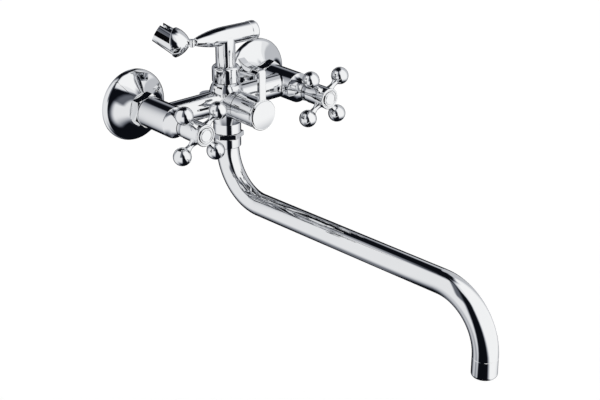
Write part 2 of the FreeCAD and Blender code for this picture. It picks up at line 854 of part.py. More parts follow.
def index_cap(side, x):
    body = turned(f"index_cap_{side}", [
        ("0", "cap_seat"),
        ("cap_radius", "cap_seat"),
        ("cap_radius", "cap_front - cap_rise", tangent_arc("cap_radius", "cap_rise")),
        ("0", "cap_front"),
    ])
    place(body, x=x, turn=OUT)
    keep(body, f"index_cap_{side}")


# Diverter: housing, ported discs and stem inside, then knob, hook lever, cap and screw

def diverter_insides():
    port_drop = "outlet_axis_drop - diverter_drop"
    ported_disc("diverter_fixed_disc", 0, "-diverter_drop", "diverter_chamber_end", "diverter_plate_radius",
                "diverter_plate", "outlet_bore - 0.8", [("0", f"-({port_drop})")])
    ported_disc("diverter_turning_disc", 0, "-diverter_drop", "diverter_chamber_end + diverter_plate",
                "diverter_plate_radius", "diverter_plate", "outlet_bore - 0.8", [(port_drop, "0")])
    back = "diverter_chamber_end + 2 * diverter_plate"
    stem = turned("diverter_stem", [
        ("0", back),
        ("diverter_plate_radius", back),
        ("diverter_plate_radius", f"{back} + carrier_thickness"),
        ("stem_radius", f"{back} + carrier_thickness"),
        ("stem_radius", "diverter_seal_out - seal_section"),
        ("stem_radius - seal_section", "diverter_seal_out - seal_section"),
        ("stem_radius - seal_section", "diverter_seal_out + seal_section"),
        ("stem_radius", "diverter_seal_out + seal_section"),
        ("stem_radius", "diverter_shoulder"),
        ("spline_radius", "diverter_shoulder"),
        ("spline_radius", "diverter_stem_end"),
        ("screw_radius", "diverter_stem_end"),
        ("screw_radius", "diverter_stem_end + 3 - screw_length"),
        ("0", "diverter_stem_end + 3 - screw_length"),
    ])
    place(stem, z="-diverter_drop", turn=OUT)
    keep(stem, "diverter_stem")
    ring = doc.addObject("Part::Torus", "diverter_seal")
    bind(ring, Radius1="stem_radius - seal_section / 2 + 0.05", Radius2="seal_section / 2")
    ring.Placement = FreeCAD.Placement(FreeCAD.Vector(), FreeCAD.Rotation(FreeCAD.Vector(1, 0, 0), 90))
    bind(ring, Placement__Base__y="-diverter_seal_out", Placement__Base__z="-diverter_drop")
    keep(ring, "diverter_seal")
    housing = turned("diverter_housing", [
        ("headwork_bore", "diverter_face - diverter_thread_length"),
        ("diverter_chamber_radius - thread_gap", "diverter_face - diverter_thread_length"),
        ("diverter_chamber_radius - thread_gap", "diverter_face"),
        ("diverter_flange_radius", "diverter_face"),
        ("diverter_flange_radius", "diverter_face + diverter_flange"),
        ("diverter_nose_radius", "diverter_face + diverter_flange + 1"),
        ("diverter_nose_radius", "diverter_nose"),
        ("headwork_bore", "diverter_nose"),
    ])
    place(housing, z="-diverter_drop", turn=OUT)
    keep(housing, "diverter_housing")


def diverter_knob():
    body = turned("diverter_knob", [
        ("knob_radius - knob_wall", "knob_back"),
        ("knob_radius - 0.4", "knob_back"),
        ("knob_radius", "knob_back + 0.4"),
        ("knob_radius", "knob_front - knob_rim", "-9"),
        ("knob_rim_radius", "knob_front - knob_rim / 2"),
        ("knob_rim_radius", "knob_front - 0.6"),
        ("knob_rim_radius - 0.6", "knob_front"),
        ("knob_rim_radius - knob_wall", "knob_front"),
        ("knob_rim_radius - knob_wall", "knob_recess_out"),
        ("screw_radius + screw_gap", "knob_recess_out"),
        ("screw_radius + screw_gap", "diverter_stem_end + screw_gap"),
        ("spline_radius + spline_gap", "diverter_stem_end + screw_gap"),
        ("spline_radius + spline_gap", "diverter_shoulder + screw_gap"),
        ("knob_radius - knob_wall", "diverter_shoulder + screw_gap"),
    ])
    place(body, z="-diverter_drop", turn=OUT)
    keep(body, "diverter_knob")


def diverter_cap():
    body = turned("diverter_cap", [
        ("0", "knob_front - 3.5"),
        ("knob_rim_radius - knob_wall - cap_gap", "knob_front - 3.5"),
        ("knob_rim_radius - knob_wall - cap_gap", "knob_front + 0.3"),
        ("knob_cap_radius", "knob_front + 0.3"),
        ("knob_cap_radius", "knob_cap_front - knob_cap_rise",
         tangent_arc("knob_cap_radius", "knob_cap_rise")),
        ("0", "knob_cap_front"),
    ])
    place(body, z="-diverter_drop", turn=OUT)
    keep(body, "diverter_cap")


def diverter_lever():
    """Hook strap: rises from the knob's rim, bends back over the body and flicks up at its tip"""
    body = new_body("diverter_lever")
    side = sketch_on(body, "YZ_Plane", lift="-lever_width / 2")
    back = "lever_front - lever_thickness"
    under_run = "(lever_under_out - lever_tail_out + 1)"
    under_rise = "(lever_bar + lever_tail_rise - lever_tail_thickness)"
    outline(side, [
        ("-lever_front", "lever_foot"),
        (f"-({back})", "lever_foot"),
        (f"-({back})", "lever_height - lever_bar - lever_inner_bend", "-lever_inner_bend"),
        (f"-({back} - lever_inner_bend)", "lever_height - lever_bar"),
        ("-lever_under_out", "lever_height - lever_bar", tangent_arc(under_run, under_rise)),
        ("-(lever_tail_out - 1)", "lever_height + lever_tail_rise - lever_tail_thickness"),
        ("-(lever_tip_out + 0.8)", "lever_height + lever_tip_rise - lever_tail_thickness"),
        ("-lever_tip_out", "lever_height + lever_tip_rise"),
        ("-lever_tail_out", "lever_height + lever_tail_rise",
         f"-{tangent_arc('(lever_waist_out - lever_tail_out)', 'lever_tail_rise')}"),
        ("-lever_waist_out", "lever_height"),
        ("-(lever_front - lever_bend)", "lever_height", "lever_bend"),
        ("-lever_front", "lever_height - lever_bend"),
    ])
    feature(body, "Pad", side, Length="lever_width")
    doc.recompute()

    def long_edge(edge):
        box = edge.BoundBox
        on_side = box.XLength < 0.01 and abs(abs(box.XMin) - size("lever_width / 2")) < 0.01
        return on_side and box.ZMin > size("lever_foot") + 0.1

    strap = body.Tip
    soft = body.newObject("PartDesign::Fillet", "lever_edges")
    soft.Base = (strap, edges_where(strap.Shape, long_edge))
    bind(soft, Radius="lever_edge")
    rod(body, "XZ_Plane", "knob_rim_radius", "lever_front", y="-diverter_drop", cut=True)
    keep(body, "diverter_lever")


# Spout: nut, split ring, inlet bush with two seals, bent tube and aerator

def spout_nut():
    corner = "spout_nut_flats / 2 / cos(30 deg)"
    hexagon = turned("spout_nut_hexagon", [
        ("spout_thread_radius + thread_gap", "spout_nut_top"),
        (f"{corner} - nut_bevel", "spout_nut_top"),
        (corner, "spout_nut_top + nut_chamfer"),
        (corner, "spout_nut_top + spout_nut_hex - nut_chamfer"),
        (f"{corner} - nut_bevel", "spout_nut_top + spout_nut_hex"),
        ("spout_thread_radius + thread_gap", "spout_nut_top + spout_nut_hex"),
    ], role="XZ_Plane")
    place(hexagon, turn=DOWN)
    cut, prism = hexagonal(hexagon, "spout_nut_flats_cut", "spout_nut_flats", "spout_nut_bottom")
    prism.Placement = FreeCAD.Placement(FreeCAD.Vector(), DOWN)
    collar = turned("spout_nut_collar", [
        ("spout_thread_radius + thread_gap", "spout_nut_top + spout_nut_hex"),
        ("spout_nut_radius", "spout_nut_top + spout_nut_hex"),
        ("spout_nut_radius", "spout_nut_bottom - 0.8"),
        ("spout_nut_radius - 0.8", "spout_nut_bottom"),
        ("spout_radius + turning_gap", "spout_nut_bottom"),
        ("spout_radius + turning_gap", "spout_nut_bottom - spout_nut_lip"),
        ("spout_nut_cavity", "spout_nut_bottom - spout_nut_lip"),
        ("spout_nut_cavity", "spout_thread_end + 0.1"),
        ("spout_thread_radius + thread_gap", "spout_thread_end + 0.1"),
    ], role="XZ_Plane")
    place(collar, turn=DOWN)
    nut = doc.addObject("Part::Fuse", "spout_nut")
    nut.Base = cut
    nut.Tool = collar
    nut.Refine = True
    place(nut, y="-axis_out")
    keep(nut, "spout_nut")


def split_ring():
    body = turned("spout_split_ring", [
        ("split_ring_inner", "split_ring_top"),
        ("split_ring_radius", "split_ring_top"),
        ("split_ring_radius", "split_ring_top + split_ring_height"),
        ("split_ring_inner", "split_ring_top + split_ring_height"),
    ], role="XZ_Plane")
    gap = sketch_on(body, "XY_Plane", lift="split_ring_top")
    outline(gap, [
        ("-split_gap / 2", "split_ring_inner / 2"),
        ("split_gap / 2", "split_ring_inner / 2"),
        ("split_gap / 2", "split_ring_radius + 1"),
        ("-split_gap / 2", "split_ring_radius + 1"),
    ])
    pocket = feature(body, "Pocket", gap, Length="2 * split_ring_height")
    pocket.Midplane = True
    place(body, y="-axis_out", turn=DOWN)
    keep(body, "spout_split_ring")


def spout_bush():
    groove = "bush_radius - seal_section"
    first = "spout_seal_top"
    second = "spout_seal_top + spout_seal_pitch"
    body = turned("spout_inlet_bush", [
        ("bush_bore", "bush_top"),
        ("bush_radius - 0.5", "bush_top"),
        ("bush_radius", "bush_top + 0.5"),
        ("bush_radius", f"{first} - seal_section"),
        (groove, f"{first} - seal_section"),
        (groove, f"{first} + seal_section"),
        ("bush_radius", f"{first} + seal_section"),
        ("bush_radius", f"{second} - seal_section"),
        (groove, f"{second} - seal_section"),
        (groove, f"{second} + seal_section"),
        ("bush_radius", f"{second} + seal_section"),
        ("bush_radius", "bush_shoulder"),
        ("spout_radius - 0.2", "bush_shoulder"),
        ("spout_radius - 0.2", "split_ring_top - 0.05"),
        ("split_ring_inner - 0.05", "split_ring_top - 0.05"),
        ("split_ring_inner - 0.05", "split_ring_top + split_ring_height + 0.05"),
        ("spout_radius - 0.2", "split_ring_top + split_ring_height + 0.05"),
        ("spout_radius - 0.2", "spout_top"),
        ("spout_radius - spout_wall - plug_play", "spout_top"),
        ("spout_radius - spout_wall - plug_play", "spout_top + bush_plug"),
        ("bush_bore + 2", "spout_top + bush_plug"),
        ("bush_bore", "spout_top"),
    ], role="XZ_Plane")
    place(body, y="-axis_out", turn=DOWN)
    keep(body, "spout_inlet_bush")
    for name, depth in (("spout_seal_upper", first), ("spout_seal_lower", second)):
        ring = doc.addObject("Part::Torus", name)
        bind(ring, Radius1="bush_radius - seal_section / 2 + 0.05", Radius2="seal_section / 2")
        bind(ring, Placement__Base__y="-axis_out", Placement__Base__z=f"-({depth})")
        keep(ring, name)


def spout_tube():
    """Bent tube: down from the nut, forward with a slight rise, then down at the tip"""
    body = new_body("spout_tube")
    path = sketch_on(body, "YZ_Plane")
    rise = "spout_rise * 1 deg"
    bend_y = "axis_out + spout_bend_radius"
    run_y = f"({bend_y} + spout_bend_radius * sin({rise}))"
    run_z = f"(spout_bend_top + spout_bend_radius * cos({rise}))"
    turn_y = f"(axis_out + spout_reach - spout_end_radius - spout_end_radius * sin({rise}))"
    turn_z = f"({run_z} - ({turn_y} - {run_y}) * tan({rise}))"
    fall_z = f"({turn_z} + spout_end_radius * cos({rise}))"
    points = [
        ("-axis_out", "-spout_top"),
        ("-axis_out", "-spout_bend_top"),
        (f"-{run_y}", f"-{run_z}"),
        (f"-{turn_y}", f"-{turn_z}"),
        ("-(axis_out + spout_reach)", f"-{fall_z}"),
        ("-(axis_out + spout_reach)", "-spout_tip"),
    ]
    radii = {1: "-spout_bend_radius", 3: "spout_end_radius"}
    corners = [FreeCAD.Vector(size(y), size(z), 0) for y, z in points]
    for index in range(len(points) - 1):
        start, end = corners[index], corners[index + 1]
        if index in radii:
            radius = size(radii[index])
            arc, (first, last) = arc_between(start, end, radius)
            number = path.addGeometry(arc, False)
            limit = path.addConstraint(Sketcher.Constraint("Radius", number, abs(radius)))
            path.setExpression(f"Constraints[{limit}]", f"abs({bound(radii[index])})")
        else:
            first, last = 1, 2
            number = path.addGeometry(Part.LineSegment(start, end), False)
        pin_point(path, number, first, *points[index])
        pin_point(path, number, last, *points[index + 1])
    ring = sketch_on(body, "XY_Plane", shift_y="-axis_out", lift="-spout_top")
    circle(ring, "0", "0", "spout_radius")
    circle(ring, "0", "0", "spout_radius - spout_wall")
    pipe = feature(body, "AdditivePipe", ring)
    pipe.Spine = path
    pipe.Mode = "Standard"
    keep(body, "spout_tube")


def aerator():
    at = {"y": "-(axis_out + spout_reach)", "turn": DOWN}
    inner = "spout_radius - spout_wall - outlet_bush_play"
    bush = turned("spout_outlet_bush", [
        ("outlet_thread_radius - 2.6", "spout_tip - outlet_bush_length"),
        (inner, "spout_tip - outlet_bush_length"),
        (inner, "spout_tip"),
        ("spout_radius - 0.3", "spout_tip"),
        ("spout_radius - 0.3", "spout_tip + outlet_bush_flange"),
        ("outlet_thread_radius", "spout_tip + outlet_bush_flange"),
        ("outlet_thread_radius", "spout_tip + outlet_thread_length"),
        ("outlet_thread_radius - 2.6", "spout_tip + outlet_thread_length"),
    ], role="XZ_Plane")
    place(bush, **at)
    keep(bush, "spout_outlet_bush")
    shell_top = "spout_tip + outlet_seam"
    seat = "spout_tip + outlet_thread_length"
    shell = turned("aerator_housing", [
        ("outlet_thread_radius + thread_gap", shell_top),
        ("spout_radius - 0.3", shell_top),
        ("spout_radius", "spout_tip + 0.6"),
        ("spout_radius", "aerator_bottom - aerator_edge", "aerator_edge"),
        ("spout_radius - aerator_edge", "aerator_bottom"),
        ("outlet_thread_radius - aerator_lip", "aerator_bottom"),
        ("outlet_thread_radius - aerator_lip", "aerator_bottom - aerator_lip"),
        ("outlet_thread_radius + thread_gap", "aerator_bottom - aerator_lip - 1.5"),
    ], role="XZ_Plane")
    place(shell, **at)
    keep(shell, "aerator_housing")
    gasket = turned("aerator_gasket", [
        ("outlet_thread_radius - 2.6", seat),
        ("outlet_thread_radius - 0.1", seat),
        ("outlet_thread_radius - 0.1", f"{seat} + 1.4"),
        ("outlet_thread_radius - 2.6", f"{seat} + 1.4"),
    ], role="XZ_Plane")
    place(gasket, **at)
    keep(gasket, "aerator_gasket")
    insert = turned("aerator_insert", [
        ("0", f"{seat} + 1.4"),
        ("outlet_thread_radius - 0.1", f"{seat} + 1.4"),
        ("outlet_thread_radius - 0.1", "aerator_bottom - aerator_lip - 1.6"),
        ("outlet_thread_radius - aerator_lip - 0.1", "aerator_bottom - aerator_lip"),
        ("0", "aerator_bottom - aerator_lip"),
    ], role="XZ_Plane")
    jet = sketch_on(insert, "XY_Plane", lift=seat)
    circle(jet, "jet_circle", "0", "jet_radius")
    hole = feature(insert, "Pocket", jet)
    hole.Type = "ThroughAll"
    hole.Reversed = True
    jets = insert.newObject("PartDesign::PolarPattern", "aerator_jets")
    jets.Originals = [hole]
    jets.Axis = (next(i for i in insert.Origin.OriginFeatures if i.Role == "Z_Axis"), [""])
    jets.Angle = 360
    bind(jets, Occurrences="jet_count")
    insert.Tip = jets
    place(insert, **at)
    keep(insert, "aerator_insert")


# Holder: collar nut on the boss, post with its bullet-shaped arm, end cap

def holder_collar():
    body = turned("holder_collar", [
        ("boss_thread_radius + thread_gap", "collar_bottom"),
        ("collar_radius - collar_bevel", "collar_bottom"),
        ("collar_radius", "collar_bottom + collar_bevel"),
        ("collar_radius", "collar_top - collar_shoulder", "collar_shoulder"),
        ("collar_radius - collar_shoulder", "collar_top"),
        ("collar_lip_radius", "collar_top"),
        ("collar_lip_radius", "boss_top + post_flange + turning_gap + 0.3"),
        ("collar_cavity", "boss_top + post_flange + turning_gap + 0.3"),
        ("collar_cavity", "boss_top + 0.2"),
        ("boss_thread_radius + thread_gap", "boss_top + 0.2"),
    ], role="XZ_Plane")
    place(body, y="-axis_out")
    keep(body, "holder_collar")


def arm_rotation():
    return FreeCAD.Rotation(FreeCAD.Vector(0, 0, 1), 180 + size("arm_turn"))


def holder_arm():
    body = new_body("holder_arm")
    flange = "boss_top + turning_gap"
    post = sketch_on(body, "XZ_Plane", shift_y="-arm_height")
    outline(post, [
        ("0", "post_foot"),
        ("post_spigot_radius - 0.5", "post_foot"),
        ("post_spigot_radius", "post_foot + 0.5"),
        ("post_spigot_radius", "holder_seal_up - seal_section"),
        ("post_spigot_radius - seal_section", "holder_seal_up - seal_section"),
        ("post_spigot_radius - seal_section", "holder_seal_up + seal_section"),
        ("post_spigot_radius", "holder_seal_up + seal_section"),
        ("post_spigot_radius", flange),
        ("post_flange_radius", flange),
        ("post_flange_radius", f"{flange} + post_flange"),
        ("post_radius", f"{flange} + post_flange"),
        ("post_radius", "arm_height"),
        ("0", "arm_height"),
    ])
    revolve(body, post)
    bullet = sketch_on(body, "XZ_Plane", shift_x="-arm_tail")
    nose = bulged_arc("arm_tip - 0.6 - arm_straight", "arm_radius - arm_tip_end_radius", "arm_nose_bulge")
    outline(bullet, [
        ("0", "0"),
        ("0", "arm_radius"),
        ("arm_tail + arm_straight", "arm_radius", f"-{nose}"),
        ("arm_tail + arm_tip - 0.6", "arm_tip_end_radius"),
        ("arm_tail + arm_tip", "arm_tip_end_radius - 0.6"),
        ("arm_tail + arm_tip", "0"),
    ])
    revolve(body, bullet, axis="H_Axis")
    rod(body, "YZ_Plane", "arm_bore", "arm_bore_depth", lift="-arm_tail", cut=True)

    # tongue with an eye, which the cup's fork takes
    tongue = sketch_on(body, "XY_Plane")
    outline(tongue, [
        ("arm_tip - 2", "-tongue_width / 2"),
        ("pivot_out", "-tongue_width / 2"),
        ("pivot_out", "tongue_width / 2"),
        ("arm_tip - 2", "tongue_width / 2"),
    ])
    strip = feature(body, "Pad", tongue, Length="tongue_thickness")
    strip.Midplane = True
    rod(body, "XY_Plane", "pivot_eye_radius", "tongue_thickness", x="pivot_out", lift="-tongue_thickness / 2")
    rod(body, "XY_Plane", "pivot_radius + pivot_gap", "fork_height", x="pivot_out", lift="-fork_height / 2", cut=True)
    place(body, y="-axis_out", z="arm_height", turn=arm_rotation())
    keep(body, "holder_arm")


def holder_seal():
    ring = doc.addObject("Part::Torus", "holder_seal")
    bind(ring, Radius1="post_spigot_radius - seal_section / 2 + 0.05", Radius2="seal_section / 2")
    bind(ring, Placement__Base__y="-axis_out", Placement__Base__z="holder_seal_up")
    keep(ring, "holder_seal")


def arm_end_cap():
    body = new_body("arm_end_cap")
    cap = sketch_on(body, "XZ_Plane", shift_x="-(arm_tail + end_cap_length)")
    outline(cap, [
        ("0", "0"),
        ("0", "end_cap_radius - end_cap_edge", "-end_cap_edge"),
        ("end_cap_edge", "end_cap_radius"),
        ("end_cap_length - 0.4", "end_cap_radius"),
        ("end_cap_length", "end_cap_radius - 0.4"),
        ("end_cap_length", "arm_bore - plug_gap"),
        ("end_cap_length + end_cap_plug", "arm_bore - plug_gap"),
        ("end_cap_length + end_cap_plug", "0"),
    ])
    revolve(body, cap, axis="H_Axis")
    place(body, y="-axis_out", z="arm_height", turn=arm_rotation())
    keep(body, "arm_end_cap")


# Swivel cup: fork, bell-shaped dome and tapered sleeve in one solid, bored and notched for the hose

def on_pivot(item, turn):
    """Put a piece on the pivot's axis at the end of the arm"""
    place(item, x="-pivot_out * cos(arm_turn * 1 deg)", y="-(axis_out + pivot_out * sin(arm_turn * 1 deg))",
          z="arm_height", turn=turn)


def risen(degrees):
    """Turn that takes +Z to the direction that rises from +X by an angle"""
    return FreeCAD.Rotation(FreeCAD.Vector(0, 1, 0), 90 - degrees)


def box_at(label, start, length, width, low, height):
    """Box that runs along +X from a start, centred sideways"""
    item = doc.addObject("Part::Box", label)
    bind(item, Length=length, Width=width, Height=height, Placement__Base__x=start,
         Placement__Base__y=f"-({width}) / 2", Placement__Base__z=low)
    return item


def cone_at(label, along, up, bottom, top, length):
    """Cone that starts in the cup's upright plane and rises with the sleeve"""
    item = doc.addObject("Part::Cone", label)
    item.Placement = FreeCAD.Placement(FreeCAD.Vector(), risen(size("cup_rise")))
    bind(item, Radius1=bottom, Radius2=top, Height=length, Placement__Base__x=along, Placement__Base__z=up)
    return item


def holder_cup():
    rim_along = "pivot_clear + dome_length * cos(dome_rise * 1 deg)"
    rim_up = "dome_length * sin(dome_rise * 1 deg)"

    def on_sleeve(distance):
        """Place on the sleeve's axis, measured from the centre of the dome's rim"""
        return (f"{rim_along} + ({distance}) * cos(cup_rise * 1 deg)",
                f"{rim_up} + ({distance}) * sin(cup_rise * 1 deg)")

    dome = turned("cup_dome", [
        ("0", "0"),
        ("cup_neck_radius", "0", "dome_curve"),
        ("dome_radius", "dome_length - dome_edge"),
        ("dome_radius - dome_edge / 2", "dome_length"),
        ("0", "dome_length"),
    ], role="XZ_Plane")
    dome.Placement = FreeCAD.Placement(FreeCAD.Vector(), risen(size("dome_rise")))
    bind(dome, Placement__Base__x="pivot_clear")
    sleeve = cone_at("cup_sleeve", *on_sleeve("-cup_root"), "cup_root_radius", "cup_mouth_radius",
                     "cup_length + cup_root")
    eye = doc.addObject("Part::Cylinder", "cup_fork_eye")
    bind(eye, Radius="pivot_eye_radius", Height="fork_height", Placement__Base__z="-fork_height / 2")
    fork = box_at("cup_fork", "0", "pivot_clear + 1.4", "fork_width", "-fork_height / 2", "fork_height")
    outside = doc.addObject("Part::MultiFuse", "cup_outside")
    outside.Shapes = [dome, sleeve, eye, fork]

    bore = cone_at("cup_bore", *on_sleeve("cup_length - cup_bore_depth"), "cup_bore_end",
                   "cup_bore_mouth + (cup_bore_mouth - cup_bore_end) / cup_bore_depth", "cup_bore_depth + 1")
    notch = box_at("cup_notch", "0", "2 * cup_mouth_radius", "cup_slot", "0", "cup_slot_depth + 1")
    start_along, start_up = on_sleeve("cup_length - cup_slot_depth")
    notch.Placement = FreeCAD.Placement(FreeCAD.Vector(), risen(size("cup_rise")).multiply(
        FreeCAD.Rotation(FreeCAD.Vector(0, 0, 1), 180)))
    side = "cup_slot / 2"
    bind(notch, Placement__Base__x=start_along, Placement__Base__y=side, Placement__Base__z=start_up)
    gap = box_at("cup_fork_gap", "-pivot_clear", "2 * pivot_clear - 0.15", "2 * pivot_clear",
                 "-(tongue_thickness / 2 + fork_gap)", "tongue_thickness + washer_thickness + 2 * fork_gap")
    hole = doc.addObject("Part::Cylinder", "cup_pivot_hole")
    bind(hole, Radius="pivot_radius + pivot_gap", Height="fork_height + 2",
         Placement__Base__z="-fork_height / 2 - 1")
    hollows = doc.addObject("Part::MultiFuse", "cup_hollows")
    hollows.Shapes = [bore, notch, gap, hole]
    cup = doc.addObject("Part::Cut", "holder_cup")
    cup.Base = outside
    cup.Tool = hollows
    on_pivot(cup, FreeCAD.Rotation(FreeCAD.Vector(0, 0, 1), 180 + size("arm_turn - cup_swing")))
    keep(cup, "holder_cup")


def cup_pivot():
    screw = turned("cup_pivot_screw", [
        ("0", "-(fork_height / 2 + pivot_head)"),
        ("pivot_head_radius", "-(fork_height / 2 + pivot_head)"),
        ("pivot_head_radius", "-fork_height / 2"),
        ("pivot_radius", "-fork_height / 2"),
        ("pivot_radius", "fork_height / 2"),
        ("0", "fork_height / 2"),
    ], role="XZ_Plane")
    on_pivot(screw, UP)
    keep(screw, "cup_pivot_screw")
    washer = turned("cup_friction_washer", [
        ("pivot_radius + pivot_gap", "tongue_thickness / 2"),
        ("pivot_eye_radius", "tongue_thickness / 2"),
        ("pivot_eye_radius", "tongue_thickness / 2 + washer_thickness"),
        ("pivot_radius + pivot_gap", "tongue_thickness / 2 + washer_thickness"),
    ], role="XZ_Plane")
    on_pivot(washer, UP)
    keep(washer, "cup_friction_washer")


# Hose outlet: screwed nipple with its check valve

def hose_outlet():
    top = "outlet_boss_bottom"
    nipple = turned("hose_nipple", [
        ("nipple_bore", f"{top} - nipple_screw_length + 0.2"),
        ("nipple_screw_radius", f"{top} - nipple_screw_length + 0.2"),
        ("nipple_screw_radius", top),
        ("nipple_thread_radius + 0.8", top),
        ("nipple_thread_radius + 0.8", f"{top} + nipple_flange"),
        ("nipple_thread_radius", f"{top} + nipple_flange"),
        ("nipple_thread_radius", f"{top} + nipple_flange + nipple_length - 0.8"),
        ("nipple_thread_radius - 0.8", f"{top} + nipple_flange + nipple_length"),
        ("nipple_bore", f"{top} + nipple_flange + nipple_length"),
    ], role="XZ_Plane")
    place(nipple, y="-outlet_out", turn=DOWN)
    keep(nipple, "hose_nipple")
    valve = turned("hose_check_valve", [
        ("2", top),
        ("nipple_bore - 0.05", top),
        ("nipple_bore - 0.05", f"{top} + check_valve_length"),
        ("2", f"{top} + check_valve_length"),
    ], role="XZ_Plane")
    place(valve, y="-outlet_out", turn=DOWN)
    keep(valve, "hose_check_valve")


mixer_body()
for side, sign in (("left", "-"), ("right", "")):
    at = f"{sign}inlet_spacing / 2"
    wall_connector(side, at)
    wall_rosette(side, at)
    union_nut(side, at)
    union_gasket(side, at)
    seat_ring(side, at)
    headwork_discs(side, at)
    headwork_stem(side, at)
    headwork_seal(side, at)
    headwork_housing(side, at)
    bonnet(side, at)
    cross_handle(side, at, f"{side}_handle_turn")
    cap_screw(f"handle_screw_{side}", at, 0, "web_front", "screw_length - 0.5")
    index_cap(side, at)
diverter_insides()
diverter_knob()
diverter_cap()
diverter_lever()
cap_screw("diverter_screw", 0, "-diverter_drop", "knob_recess_out", "screw_length - 0.5")
spout_nut()
split_ring()
spout_bush()
spout_tube()
aerator()
holder_collar()
holder_arm()
holder_seal()
arm_end_cap()
holder_cup()
cup_pivot()
hose_outlet()
doc.recompute()

for item in doc.Objects:
    if "Invalid" in item.State or "Error" in item.State:
        raise RuntimeError(f"{item.Label} did not build: {item.State}")
for part in subparts:
    if part.Shape.isNull() or not part.Shape.isValid() or not part.Shape.Solids:
        raise RuntimeError(f"{part.Label} has no valid solid")

os.makedirs("parts", exist_ok=True)
for part in subparts:
    part.Shape.exportStep(f"parts/{part.Label}.step")
print(len(subparts), "sub-parts written")
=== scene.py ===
import math

import bpy
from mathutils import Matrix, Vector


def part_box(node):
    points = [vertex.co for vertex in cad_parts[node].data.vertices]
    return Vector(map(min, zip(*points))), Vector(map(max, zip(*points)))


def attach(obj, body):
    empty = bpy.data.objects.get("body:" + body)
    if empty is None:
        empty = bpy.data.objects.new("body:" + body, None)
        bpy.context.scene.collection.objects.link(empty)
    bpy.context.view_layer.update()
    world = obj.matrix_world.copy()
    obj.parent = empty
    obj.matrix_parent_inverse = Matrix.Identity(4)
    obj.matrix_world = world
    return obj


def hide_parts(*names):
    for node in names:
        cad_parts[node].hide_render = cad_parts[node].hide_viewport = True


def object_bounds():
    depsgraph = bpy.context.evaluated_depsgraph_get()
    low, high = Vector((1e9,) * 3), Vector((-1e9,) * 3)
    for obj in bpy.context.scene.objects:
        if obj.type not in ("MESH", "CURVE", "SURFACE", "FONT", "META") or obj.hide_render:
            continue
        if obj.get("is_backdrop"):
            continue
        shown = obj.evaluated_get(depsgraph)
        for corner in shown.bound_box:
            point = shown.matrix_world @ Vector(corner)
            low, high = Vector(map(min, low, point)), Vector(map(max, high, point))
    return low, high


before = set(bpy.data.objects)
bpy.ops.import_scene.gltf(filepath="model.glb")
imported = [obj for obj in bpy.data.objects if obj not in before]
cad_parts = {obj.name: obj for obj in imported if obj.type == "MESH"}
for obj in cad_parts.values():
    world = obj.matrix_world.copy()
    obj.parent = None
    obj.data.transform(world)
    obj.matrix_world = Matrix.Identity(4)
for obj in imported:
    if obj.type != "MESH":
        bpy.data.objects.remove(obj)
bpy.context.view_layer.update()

# Wall connectors and hose nipple.
# Short turned brass unions: the rear thread screws into the pipe in the wall, the front one takes the nut.
# They are nickel plated, and the ridges of their threads wind round them in the finish.


class Wave:
    """A shader socket that can be used in sums"""

    def __init__(self, tree, socket):
        self.tree = tree
        self.socket = socket

    def node(self, kind, settings=None, **inputs):
        """Add a node, with its settings first and then the values or links of its sockets"""
        made = self.tree.nodes.new(kind)
        for name, value in (settings or {}).items():
            setattr(made, name, value)
        for name, value in inputs.items():
            socket = made.inputs[int(name[1:]) if name[0] == "_" else name.replace("_", " ")]
            if isinstance(value, Wave):
                self.tree.links.new(value.socket, socket)
            else:
                socket.default_value = value
        return made

    def out(self, made, name=0):
        return Wave(self.tree, made.outputs[name])

    def math(self, operation, *values):
        named = {f"_{place}": value for place, value in enumerate(values)}
        return self.out(self.node("ShaderNodeMath", {"operation": operation}, **named))

    def vector(self, operation, *values):
        named = {f"_{place}": value for place, value in enumerate(values)}
        return self.node("ShaderNodeVectorMath", {"operation": operation}, **named)

    def __add__(self, other):
        return self.math("ADD", self, other)

    def __radd__(self, other):
        return self.math("ADD", other, self)

    def __sub__(self, other):
        return self.math("SUBTRACT", self, other)

    def __rsub__(self, other):
        return self.math("SUBTRACT", other, self)

    def __mul__(self, other):
        return self.math("MULTIPLY", self, other)

    def __rmul__(self, other):
        return self.math("MULTIPLY", other, self)


def new_finish(name, metallic, coat=0.0):
    """An empty material, its shader, and the place on the piece as a socket"""
    material = bpy.data.materials.new(name)
    material.use_nodes = True
    tree = material.node_tree
    shader = tree.nodes["Principled BSDF"]
    shader.inputs["Metallic"].default_value = metallic
    shader.inputs["Coat Weight"].default_value = coat
    return material, shader, Wave(tree, tree.nodes.new("ShaderNodeTexCoord").outputs["Object"])


def noise(place, scale, detail=2.0, rough=0.5):
    made = place.node("ShaderNodeTexNoise", Vector=place, Scale=scale, Detail=detail, Roughness=rough)
    return place.out(made, "Fac")


def blend_colours(share, first, second):
    made = share.node("ShaderNodeMix", {"data_type": "RGBA"}, _0=share, _6=(*first, 1), _7=(*second, 1))
    return share.out(made, 2)


def ramp(value, low, high):
    """Spread a value between two limits over nought to one"""
    made = value.node("ShaderNodeMapRange", {"interpolation_type": "SMOOTHSTEP"}, Value=value,
                      From_Min=low, From_Max=high)
    return value.out(made)


def relief(height, strength=1.0, distance=1.0):
    """The surface's direction over a relief of that height"""
    return height.out(height.node("ShaderNodeBump", Height=height, Strength=strength, Distance=distance))


def split(place):
    parts = place.node("ShaderNodeSeparateXYZ", _0=place)
    return [place.out(parts, axis) for axis in range(3)]


def connect(shader, **sockets):
    for name, value in sockets.items():
        value.tree.links.new(value.socket, shader.inputs[name.replace("_", " ")])


def select_only(piece):
    for other in bpy.context.selected_objects:
        other.select_set(False)
    piece.select_set(True)
    bpy.context.view_layer.objects.active = piece


CAD_EDGE_ANGLE = math.radians(28)


